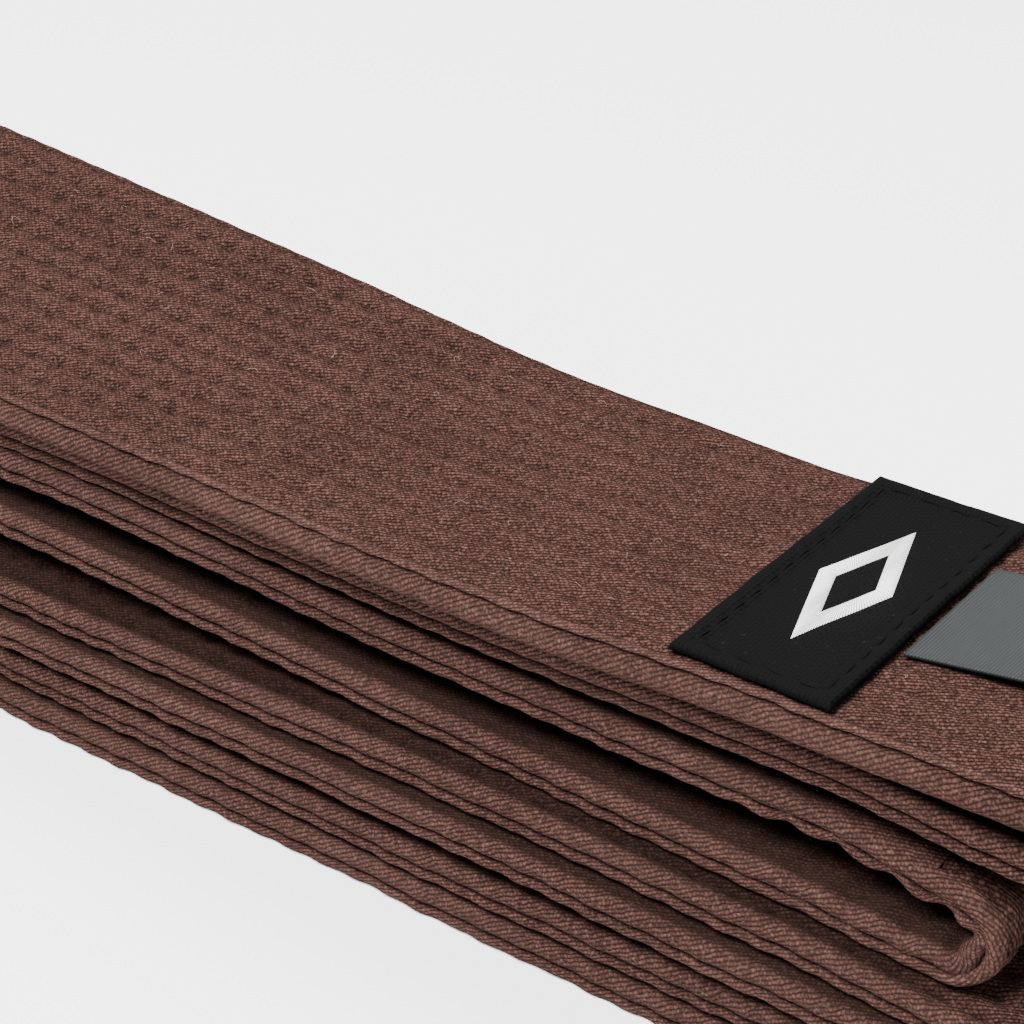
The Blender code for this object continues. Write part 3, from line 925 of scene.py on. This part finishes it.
def finishes():
    """All materials, made once."""
    if MATERIALS:
        return MATERIALS
    sizes = bpy.context.scene.belt_sizes
    colours = bpy.context.scene.belt_colours
    MATERIALS["twill"] = twill_material(sizes, colours)
    MATERIALS["core"] = weave_material("natural_canvas", colours.canvas, 0.0011, 0.9,
                                       layer="belt_uv")
    MATERIALS["thread"] = thread_material("brown_sewing_thread", colours.cover_thread, 0.0005, 0.75)
    MATERIALS["label"] = weave_material("black_label_cloth", colours.label_cloth, 0.00042, 0.8,
                                        (0.012, 0.012, 0.013), sheen=0.0, low_share=0.72,
                                        shine=0.05, depth=0.20)
    MATERIALS["label_thread"] = thread_material("black_label_thread", colours.label_thread,
                                                0.0004, 0.6)
    MATERIALS["emblem"] = satin_stitch_material(colours)
    MATERIALS["ribbon"] = satin_ribbon_material(colours)
    MATERIALS["lint"] = thread_material("pale_lint", (0.30, 0.22, 0.20), 0.0003, 0.8)
    return MATERIALS


# ---------------------------------------------------------------- how the pieces move

def carry(piece, name):
    """Ride with the half of the stack that this stretch belongs to; the nest folds, the top run and
    the label end stay fixed where they lie.
    """
    nests = tuple("fold_%d_%d" % pair for pair in NEST_FOLDS)
    if name in nests:
        centre, bottom, top = FOLDS[tuple(int(part) for part in name.split("_")[1:])]
        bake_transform(piece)
    elif name in ("run_1", "label_end"):
        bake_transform(piece)
    elif name in ("run_2", "run_3", "run_4", "fold_3_4"):
        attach(piece, "upper_half")
    else:
        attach(piece, "lower_half")


# Spacing of the rows of points, then the points across each face
COVER_MESH = {"label_end": (0.40, 64, 40), "run_1": (0.40, 66, 22), "run_8": (0.42, 60, 14),
              "run_5": (0.42, 60, 14), "run_4": (0.42, 60, 14), "run_2": (0.42, 16, 40)}


def add_cover(name):
    """The twill cover of one stretch."""
    sizes = bpy.context.scene.belt_sizes
    stretch = COURSE[name]
    step, face_a, face_b = COVER_MESH.get(name, (0.42, 18, 14))
    if stretch.kind == "fold":
        step, face_a, face_b = 0.42, 60, 30
    world, along, cut, shading = cover_grid(stretch, sizes, step, face_a, face_b)
    piece = flat_cut("twill_cover_" + name, world[0].shape[1], world[0].shape[0])
    shape_cloth(piece, world, along, cut)
    for kind, values in shading.items():
        shade(piece, kind, values)
    give(piece, finishes()["twill"])
    carry(piece, name)
    nodes = ["cover_" + name]
    if name == "label_end":
        nodes.append("turned_in_label_end")
    if name == "run_2":
        nodes.append("turned_in_plain_end")
    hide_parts(*nodes)


def core_outline():
    """The core's cross-section: a flat bar with rounded corners, as (across, out) pairs."""
    half_out, half_y, corner = 0.8, HALF_WIDTH - 1.1, 0.3
    ring = []
    for sign_y, sign_n, start in ((1, 1, 0), (-1, 1, 90), (-1, -1, 180), (1, -1, 270)):
        for turn in (0, 45, 90):
            angle = math.radians(start + turn)
            ring.append((sign_y * (half_y - corner) + corner * math.cos(angle),
                         sign_n * (half_out - corner) + corner * math.sin(angle)))
    wide = []
    for first, second in zip(ring, ring[1:] + ring[:1]):
        parts = 12 if abs(first[0] - second[0]) > 5 else 1
        for part in range(parts):
            share = part / parts
            wide.append((first[0] + (second[0] - first[0]) * share,
                         first[1] + (second[1] - first[1]) * share))
    return np.array(wide)


# Gap between the core and a closed end of the belt, and between the cores of two stretches
CORE_END_GAP, CORE_JOIN_GAP = 4.5, 0.2
# Round the nest the core is narrower, so that it stays out of the seam when the stack unfolds
PINCH_X, PINCH_LENGTH, PINCH_SHARE = -136.0, 8.0, 0.42


def add_core(name):
    """The canvas core of one stretch, as a closed flat bar that follows it."""
    stretch = COURSE[name]
    outline = core_outline()
    start = CORE_END_GAP if name == "label_end" else CORE_JOIN_GAP
    stop = stretch.length - (CORE_END_GAP if name == "run_2" else CORE_JOIN_GAP)
    rows = max(int(stretch.length / 1.5), 12)
    distance = np.linspace(start, stop, rows)[:, None]
    middle_x = place(stretch, distance, 0 * distance, 0 * distance)[0]
    y = outline[None, :, 0] * (1 - PINCH_SHARE * smooth((PINCH_X - middle_x) / PINCH_LENGTH))
    out = outline[None, :, 1] + 0 * distance
    points = np.stack(place(stretch, distance, y, out), -1)
    piece = mesh_from("canvas_core_" + name, points.reshape(-1, 3), tube_faces(rows, len(outline)))
    face_outwards(piece)
    bpy.ops.object.shade_smooth_by_angle(angle=math.radians(40))
    belt = np.stack([distance + stretch.along + 0 * y, y], -1).reshape(-1, 2)
    write_uv(piece.data.uv_layers.new(name="belt_uv"), piece.data, belt)
    give(piece, finishes()["core"])
    carry(piece, name)
    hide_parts("core_" + name)


# ---------------------------------------------------------------- operators

# Name, place in metres, size and power of each light, and the spot that all of them face
LIGHTS = (("key_softbox", (-0.15, -0.46, 0.90), 0.50, 42.0),
          ("fill_softbox", (0.75, -0.35, 0.65), 0.50, 5.0),
          ("rear_softbox", (0.05, 0.45, 1.00), 0.60, 20.0))
LIT_SPOT = (0.08, 0.0, 0.02)
ROOM_LIGHT = 0.50
# The camera looks down at the label end from its near right
CAMERA_PLACE = (0.2071, -0.1659, 0.1527)
CAMERA_FORWARD = (-0.5176, 0.6944, -0.5)
CAMERA_UP = (-0.2988, 0.4009, 0.8660)
CAMERA_LENS = 84.375


class BELT_OT_stage(Operator):
    """Add the floor, the soft lights and the camera"""
    bl_idname = "belt.add_stage"
    bl_label = "Stage"

    def execute(self, context):
        clear_selection()
        bpy.ops.mesh.primitive_plane_add(size=6.0, location=(0.0, 0.0, 0.0))
        floor = context.object
        floor.name = "studio_floor"
        floor.data.materials.append(floor_material())
        world = bpy.data.worlds.new("soft_white_room")
        world.use_nodes = True
        background = world.node_tree.nodes["Background"]
        background.inputs["Color"].default_value = (1.0, 1.0, 1.0, 1.0)
        background.inputs["Strength"].default_value = ROOM_LIGHT
        context.scene.world = world
        for name, spot, size, power in LIGHTS:
            bpy.ops.object.light_add(type="AREA", location=spot)
            light = context.object
            light.name = name
            light.data.size = size
            light.data.energy = power
            aim = Vector(LIT_SPOT) - Vector(spot)
            light.rotation_euler = aim.to_track_quat("-Z", "Y").to_euler()
        forward = Vector(CAMERA_FORWARD)
        right = forward.cross(Vector(CAMERA_UP)).normalized()
        up = right.cross(forward).normalized()
        forward.normalize()
        camera_data = bpy.data.cameras.new("studio_camera")
        camera_data.lens = CAMERA_LENS
        camera_data.sensor_width = 36.0
        camera_data.clip_start = 0.01
        camera = bpy.data.objects.new("studio_camera", camera_data)
        context.scene.collection.objects.link(camera)
        turn = Matrix((right, up, -forward)).transposed()
        camera.matrix_world = Matrix.Translation(CAMERA_PLACE) @ turn.to_4x4()
        context.scene.camera = camera
        return {"FINISHED"}


class BELT_OT_run_covers(Operator):
    """Wrap the twill cover round the eight runs and the label end"""
    bl_idname = "belt.add_run_covers"
    bl_label = "Cover of the runs"

    def execute(self, context):
        for name, stretch in COURSE.items():
            if stretch.kind == "run":
                add_cover(name)
        return {"FINISHED"}


class BELT_OT_fold_covers(Operator):
    """Wrap the twill cover round the seven folds"""
    bl_idname = "belt.add_fold_covers"
    bl_label = "Cover of the folds"

    def execute(self, context):
        for name, stretch in COURSE.items():
            if stretch.kind == "fold":
                add_cover(name)
        return {"FINISHED"}


class BELT_OT_cores(Operator):
    """Lay the canvas core inside the whole belt"""
    bl_idname = "belt.add_cores"
    bl_label = "Canvas core"

    def execute(self, context):
        for name in COURSE:
            add_core(name)
        return {"FINISHED"}


# Stretches that have thread laid in their rows, on the face that starts on top
STITCHED = ("label_end", "run_1", "run_8", "run_5", "run_4")


def under_label(stretch, distance, y):
    """True where the label covers the belt."""
    x = float(stretch.course(np.array([distance]))[0][0])
    inside_x = LABEL_LOW[0] - 1.0 < x < LABEL_HIGH[0] + 1.0
    return inside_x and abs(y) < (LABEL_HIGH[1] - LABEL_LOW[1]) / 2 + 0.2


class BELT_OT_stitch_rows(Operator):
    """Lay the stitches of the twelve rows on the faces that show"""
    bl_idname = "belt.add_stitch_rows"
    bl_label = "Stitch rows"

    def execute(self, context):
        sizes = context.scene.belt_sizes
        pitch = sizes.stitch_pitch * 1000
        spacing = sizes.row_spacing * 1000
        shape, faces = one_stitch(pitch * 0.74, sizes.thread_width * 1000)
        for name in STITCHED:
            stretch = COURSE[name]
            copies = []
            first = int(math.ceil((stretch.along + 3.0) / pitch))
            last = int((stretch.along + stretch.length - 2.5) / pitch)
            for row in range(ROWS):
                y_row = (row - ROWS / 2 + 0.5) * spacing
                for number in range(first, last):
                    shift = ROW_SHIFT * math.sin(row * ROW_SHIFT_TURN)
                    middle = (number + 0.5 - shift) * pitch
                    distance = middle - stretch.along + shape[:, 0]
                    if name == "label_end" and under_label(stretch, distance.mean(), y_row):
                        continue
                    y = y_row + shape[:, 1]
                    sunk = HALF_THICK + quilting(distance + stretch.along, y_row, sizes, 0)
                    out = sunk + shape[:, 2] * 0.7 - 0.03
                    copies.append(np.stack(place(stretch, distance, y, out), -1))
            points, all_faces = repeat(copies, faces)
            piece = mesh_from("stitch_rows_" + name, points, all_faces)
            face_outwards(piece)
            give(piece, finishes()["thread"])
            carry(piece, name)
        return {"FINISHED"}


def box_of_stitches(low, high, inset, pitch, shape):
    """Where the points of each stitch of a sewn rectangle lie, as pairs (x, y)."""
    corners = [np.array(corner, float) for corner in (
        (low[0] + inset, low[1] + inset), (high[0] - inset, low[1] + inset),
        (high[0] - inset, high[1] - inset), (low[0] + inset, high[1] - inset))]
    result = []
    for first, second in zip(corners, corners[1:] + corners[:1]):
        reach = np.linalg.norm(second - first)
        heading = (second - first) / reach
        count = max(int(round(reach / pitch)), 1)
        for number in range(count):
            middle = first + (second - first) * (number + 0.5) / count
            result.append((middle[0] + shape[:, 0] * heading[0] - shape[:, 1] * heading[1],
                           middle[1] + shape[:, 0] * heading[1] + shape[:, 1] * heading[0]))
    return result


class BELT_OT_end_stitching(Operator):
    """Sew the box of stitching on both belt ends"""
    bl_idname = "belt.add_end_stitching"
    bl_label = "End stitching"

    def execute(self, context):
        sizes = context.scene.belt_sizes
        length_mm, pitch = 2.5, 3.0
        shape, faces = one_stitch(length_mm, sizes.thread_width * 1000 * 1.25)
        ends = (("label_end", "end_stitching_label_end", "label_end"),
                ("run_2", "end_stitching_plain_end", "upper_half"))
        for name, node, body in ends:
            stretch = COURSE[name]
            low, high = box_mm(node)
            low[1] -= RUN_SIDE[stretch.runs[0]]
            high[1] -= RUN_SIDE[stretch.runs[0]]
            copies = []
            for x, y in box_of_stitches(low, high, sizes.thread_width * 500, pitch, shape):
                distance = (x - stretch.start_x) * stretch.heading()
                taper = end_taper(stretch, distance)
                sunk = HALF_THICK + quilting(distance + stretch.along, y, sizes, 0)
                dip = 0.25 * np.abs(shape[:, 0] * 2 / length_mm) ** 3
                out = sunk * taper + shape[:, 2] - dip + 0.06
                copies.append(np.stack(place(stretch, distance, y, out), -1))
            points, all_faces = repeat(copies, faces)
            piece = mesh_from("thread_" + node, points, all_faces)
            face_outwards(piece)
            give(piece, finishes()["thread"])
            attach(piece, body)
            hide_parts(node)
        return {"FINISHED"}


# How far inside the label's edge its sewing runs, and where the folded border ends
SEWING_INSET, SEWING_PITCH, SEWING_LENGTH = 1.75, 2.9, 2.3
BORDER_WIDTH = 2.5


def label_height(x, y):
    """Height of the label's face over the belt, with its folded border and puckers."""
    inner_x = np.minimum(x - LABEL_LOW[0], LABEL_HIGH[0] - x)
    inner_y = np.minimum(y - LABEL_LOW[1], LABEL_HIGH[1] - y)
    inside = np.minimum(inner_x, inner_y)
    field = LABEL_HIGH[2] - 0.30
    border = 0.42 * smooth((BORDER_WIDTH - inside) / 0.7)
    groove = -0.24 * np.exp(-((inside - SEWING_INSET) / 0.28) ** 2)
    pull = -0.09 * np.exp(-((inside - 1.9) / 0.9) ** 2)
    pull = pull * (1 + np.cos(2 * math.pi * (x + y) / SEWING_PITCH))
    to_edge = 1 - np.clip(inside / 0.55, 0, 1)
    rolled = -0.75 * (1 - np.sqrt(np.clip(1 - to_edge ** 2, 0, 1)))
    wave = 0.11 * ripple(x / 3.1, y / 3.7, 71)
    return field + border + groove + pull + rolled + wave


class BELT_OT_label(Operator):
    """Sew on the black label with its folded border"""
    bl_idname = "belt.add_label"
    bl_label = "Label"

    def execute(self, context):
        sizes = context.scene.belt_sizes
        columns, rows = 76, 170
        share_x = np.linspace(0, 1, columns)[None, :]
        share_y = np.linspace(0, 1, rows)[:, None]
        x = LABEL_LOW[0] + (LABEL_HIGH[0] - LABEL_LOW[0]) * share_x + 0 * share_y
        y = LABEL_LOW[1] + (LABEL_HIGH[1] - LABEL_LOW[1]) * share_y + 0 * share_x
        z = label_height(x, y)
        fray_x = 0.10 * ripple(y / 1.1, x / 4.0, 73) * np.abs(2 * share_x - 1) ** 8
        fray_y = 0.10 * ripple(x / 1.1, y / 4.0, 79) * np.abs(2 * share_y - 1) ** 20
        piece = flat_cut("black_label", columns, rows)
        shape_cloth(piece, (x + fray_x, y + fray_y, z), x, y, "piece_uv")
        thicken(piece, 0.00022)
        give(piece, finishes()["label"])
        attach(piece, "label_end")
        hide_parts("label_patch")
        shape, faces = one_stitch(SEWING_LENGTH, sizes.thread_width * 1000)
        dip = 0.18 * np.abs(shape[:, 0] * 2 / SEWING_LENGTH) ** 3
        copies = []
        for x, y in box_of_stitches(LABEL_LOW, LABEL_HIGH, SEWING_INSET, SEWING_PITCH, shape):
            copies.append(np.stack([x, y, label_height(x, y) + shape[:, 2] + 0.07 - dip], -1))
        points, all_faces = repeat(copies, faces)
        thread = mesh_from("label_border_thread", points, all_faces)
        face_outwards(thread)
        give(thread, finishes()["label_thread"])
        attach(thread, "label_end")
        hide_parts("label_border_stitching")
        return {"FINISHED"}


class BELT_OT_emblem(Operator):
    """Embroider the plain white lozenge on the label"""
    bl_idname = "belt.add_emblem"
    bl_label = "Emblem"

    def execute(self, context):
        centre = (EMBLEM_LOW + EMBLEM_HIGH) / 2
        half = (EMBLEM_HIGH - EMBLEM_LOW)[:2] / 2
        stroke = 1.7
        outer = np.array([(half[0], 0), (0, half[1]), (-half[0], 0), (0, -half[1])])
        lean = math.hypot(half[0], half[1])
        inner = outer * (1 - stroke * lean / (half[0] * half[1]))
        across, steps = 9, 90
        points, faces, belt = [], [], []
        for side in range(4):
            first = (outer[side], inner[side])
            second = (outer[(side + 1) % 4], inner[(side + 1) % 4])
            base = len(points)
            reach = np.linalg.norm(second[0] - first[0])
            for step in range(steps):
                share = step / (steps - 1)
                edge_out = first[0] + (second[0] - first[0]) * share
                edge_in = first[1] + (second[1] - first[1]) * share
                for column in range(across):
                    part = column / (across - 1)
                    spot = edge_out + (edge_in - edge_out) * part
                    wobble = 0.05 * math.sin(step * 2.4) * (1 - abs(2 * part - 1)) ** 0.3
                    rise = 0.34 * math.sqrt(max(0.0, 1 - (2 * part - 1) ** 2)) + 0.25 * wobble
                    x, y = centre[0] + spot[0], centre[1] + spot[1]
                    points.append((x, y, float(label_height(x, y)) - 0.04 + rise))
                    belt.append((share * reach + side * 0.2, part * stroke))
            for step in range(steps - 1):
                for column in range(across - 1):
                    corner = base + step * across + column
                    faces.append((corner, corner + 1, corner + across + 1, corner + across))
        piece = mesh_from("white_lozenge", points, faces)
        mesh = piece.data
        if mesh.polygons[0].normal.z < 0:
            mesh.flip_normals()
        write_uv(mesh.uv_layers.new(name="piece_uv"), mesh, belt)
        give(piece, finishes()["emblem"])
        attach(piece, "label_end")
        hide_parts("label_emblem")
        return {"FINISHED"}


class BELT_OT_tag(Operator):
    """Add the grey satin size tag beside the label"""
    bl_idname = "belt.add_tag"
    bl_label = "Size tag"

    def execute(self, context):
        columns, rows = 70, 60
        share_x = np.linspace(0, 1, columns)[None, :]
        share_y = np.linspace(0, 1, rows)[:, None]
        reach = TAG_HIGH[0] - TAG_LOW[0]
        width = TAG_HIGH[1] - TAG_LOW[1]
        x = TAG_LOW[0] + reach * share_x + 0 * share_y
        y = TAG_LOW[1] + width * share_y + 0 * share_x
        skew = 0.17 * (x - TAG_LOW[0]) * (1 - 0.5 * share_x)
        rise = (TAG_HIGH[2] - TAG_LOW[2] - 0.5)
        z = TAG_LOW[2] + 0.42 + rise * share_x ** 1.4
        z = z + 0.10 * ripple(x / 4.2, y / 5.5, 83) * share_x
        z = z + 0.35 * share_x * (2 * share_y - 1) ** 2
        piece = flat_cut("satin_size_tag", columns, rows)
        shape_cloth(piece, (x, y + skew, z), x, y, "piece_uv")
        edge = np.abs(2 * share_y - 1) + 0 * share_x
        shade(piece, "selvedge", smooth((edge - 0.90) / 0.06))
        thicken(piece, 0.00035)
        give(piece, finishes()["ribbon"])
        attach(piece, "size_tag")
        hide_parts("size_tag")
        return {"FINISHED"}


class BELT_OT_lint(Operator):
    """Scatter a few pale fibres of lint on the top of the belt"""
    bl_idname = "belt.add_lint"
    bl_label = "Lint"

    def execute(self, context):
        sizes = context.scene.belt_sizes
        for name, count, seed in (("run_1", 46, 5), ("label_end", 30, 6)):
            draw = random.Random(seed)
            stretch = COURSE[name]
            strands = []
            rings, sides, thin = 9, 5, 0.013
            while len(strands) < count:
                distance = draw.uniform(4.0, stretch.length - 4.0)
                y = draw.uniform(-17.0, 17.0)
                heading = draw.uniform(0, math.pi)
                bend = draw.uniform(-2.8, 2.8)
                long = draw.uniform(0.6, 1.7)
                lifted = draw.uniform(0.05, 0.35)
                if name == "label_end" and under_label(stretch, distance, y):
                    continue
                ring_points = []
                for ring in range(rings):
                    share = ring / (rings - 1)
                    angle = heading + bend * (share - 0.5)
                    d = distance + (share - 0.5) * long * math.cos(angle)
                    w = y + (share - 0.5) * long * math.sin(angle)
                    level = HALF_THICK + float(quilting(d + stretch.along, np.array(w), sizes, 0))
                    level += 0.05 + lifted * math.sin(math.pi * share)
                    for side in range(sides):
                        turn = 2 * math.pi * side / sides
                        ring_points.append((d - thin * math.cos(turn) * math.sin(angle),
                                            w + thin * math.cos(turn) * math.cos(angle),
                                            level + thin * math.sin(turn)))
                ring_points = np.array(ring_points)
                strands.append(np.stack(place(stretch, ring_points[:, 0], ring_points[:, 1],
                                              ring_points[:, 2]), -1))
            points, all_faces = repeat(strands, tube_faces(rings, sides))
            piece = mesh_from("lint_on_" + name, points, all_faces)
            face_outwards(piece)
            give(piece, finishes()["lint"])
            carry(piece, name)
        return {"FINISHED"}


class BELT_PT_sidebar(Panel):
    """Lists the steps that build the belt"""
    bl_label = "Belt"
    bl_idname = "BELT_PT_sidebar"
    bl_space_type = "VIEW_3D"
    bl_region_type = "UI"
    bl_category = "Belt"

    def draw(self, context):
        layout = self.layout
        for group in (context.scene.belt_sizes, context.scene.belt_colours):
            box = layout.box()
            for name in group.bl_rna.properties.keys():
                if name not in ("rna_type", "name"):
                    box.prop(group, name)
        for operator in STEPS:
            layout.operator(operator.bl_idname)


STEPS = (BELT_OT_stage, BELT_OT_run_covers, BELT_OT_fold_covers, BELT_OT_cores,
         BELT_OT_stitch_rows, BELT_OT_end_stitching, BELT_OT_label, BELT_OT_emblem,
         BELT_OT_tag, BELT_OT_lint)
CLASSES = (BeltSizes, BeltColours) + STEPS + (BELT_PT_sidebar,)


def register():
    for item in CLASSES:
        bpy.utils.register_class(item)
    bpy.types.Scene.belt_sizes = PointerProperty(type=BeltSizes)
    bpy.types.Scene.belt_colours = PointerProperty(type=BeltColours)


def unregister():
    del bpy.types.Scene.belt_colours
    del bpy.types.Scene.belt_sizes
    for item in reversed(CLASSES):
        bpy.utils.unregister_class(item)


def main():
    """Build everything in order."""
    register()
    bpy.ops.belt.add_stage()
    bpy.ops.belt.add_run_covers()
    bpy.ops.belt.add_fold_covers()
    bpy.ops.belt.add_cores()
    bpy.ops.belt.add_stitch_rows()
    bpy.ops.belt.add_end_stitching()
    bpy.ops.belt.add_label()
    bpy.ops.belt.add_emblem()
    bpy.ops.belt.add_tag()
    bpy.ops.belt.add_lint()


if __name__ == "__main__":
    main()
